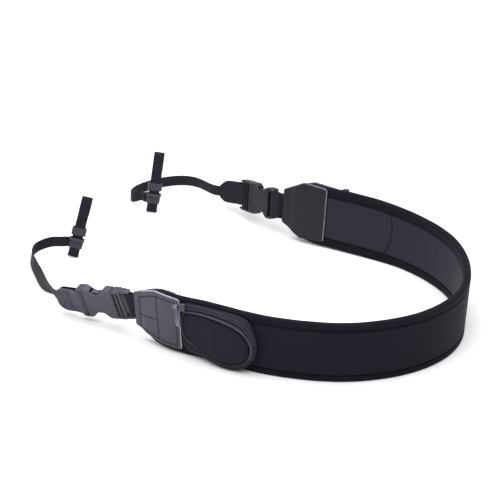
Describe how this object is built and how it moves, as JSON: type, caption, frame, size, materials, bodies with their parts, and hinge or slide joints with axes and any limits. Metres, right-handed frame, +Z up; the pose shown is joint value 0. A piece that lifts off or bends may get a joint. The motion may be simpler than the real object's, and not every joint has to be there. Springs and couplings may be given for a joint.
{
  "type": "camera neck strap",
  "caption": "Padded camera neck strap with leather end tabs, zipped pockets, fastened side-release buckles and narrow webbing ends, standing on its lower edge.",
  "frame": {"origin": "middle of the footprint on the floor that the strap stands on", "axes": "+Z up; the band bows towards +X and its two ends open towards -X; the end with the pocket in view (front) is on the -Y side and the other end (back) on the +Y side"},
  "size_m": [0.4086, 0.4102, 0.0644],
  "materials": {
    "padded_neoprene": "black cloth-faced neoprene, matt, fine knit",
    "binding_cloth": "black folded binding tape, matt",
    "leather": "charcoal synthetic leather, fine grain, satin",
    "pocket_cloth": "dark grey ribbed cloth over a rolled rim, matt",
    "webbing": "black woven polyamide webbing, ribbed",
    "buckle_plastic": "black acetal moulding, fine spark texture, satin",
    "zip_coil": "black coil zip on its tape",
    "zip_metal": "dark grey painted die-cast zip slider and pull"
  },
  "bodies": {
    "strap": {"shoulder_pad": "padded_neoprene", "pocket_panel_front": "padded_neoprene", "pocket_panel_back": "padded_neoprene", "top_edge_binding": "binding_cloth", "bottom_edge_binding": "binding_cloth", "outer_end_tab_front": "leather", "outer_end_tab_back": "leather", "inner_end_tab_front": "leather", "inner_end_tab_back": "leather", "leather_patch_front": "leather", "leather_patch_back": "leather", "pocket_wall_front": "pocket_cloth", "pocket_wall_back": "pocket_cloth", "webbing_loop_front": "webbing", "webbing_loop_back": "webbing", "patch_webbing_front": "webbing", "patch_webbing_back": "webbing", "narrow_webbing_front": "webbing", "narrow_webbing_back": "webbing", "lug_loop_front": "webbing", "lug_loop_back": "webbing", "male_buckle_front": "buckle_plastic", "male_buckle_back": "buckle_plastic", "female_buckle_front": "buckle_plastic", "female_buckle_back": "buckle_plastic", "strap_slider_front": "buckle_plastic", "strap_slider_back": "buckle_plastic", "strap_keeper_front": "buckle_plastic", "strap_keeper_back": "buckle_plastic", "pocket_zip_front": "zip_coil", "pocket_zip_back": "zip_coil", "zip_slider_front": "zip_metal", "zip_slider_back": "zip_metal"},
    "front_pull": {"zip_pull_front": "zip_metal"},
    "back_pull": {"zip_pull_back": "zip_metal"}
  },
  "joints": [
    {"name": "front_pull_swing", "type": "hinge", "parent": "strap", "child": "front_pull", "pos_m": [-0.05984, -0.15735, 0.05327], "axis": [-0.8809, 0.4577, -0.1206], "range_deg": [0, 150]},
    {"name": "back_pull_swing", "type": "hinge", "parent": "strap", "child": "back_pull", "pos_m": [0.09305, 0.08713, 0.05215], "axis": [0.8677, -0.4816, 0.1228], "range_deg": [0, 150]}
  ]
}
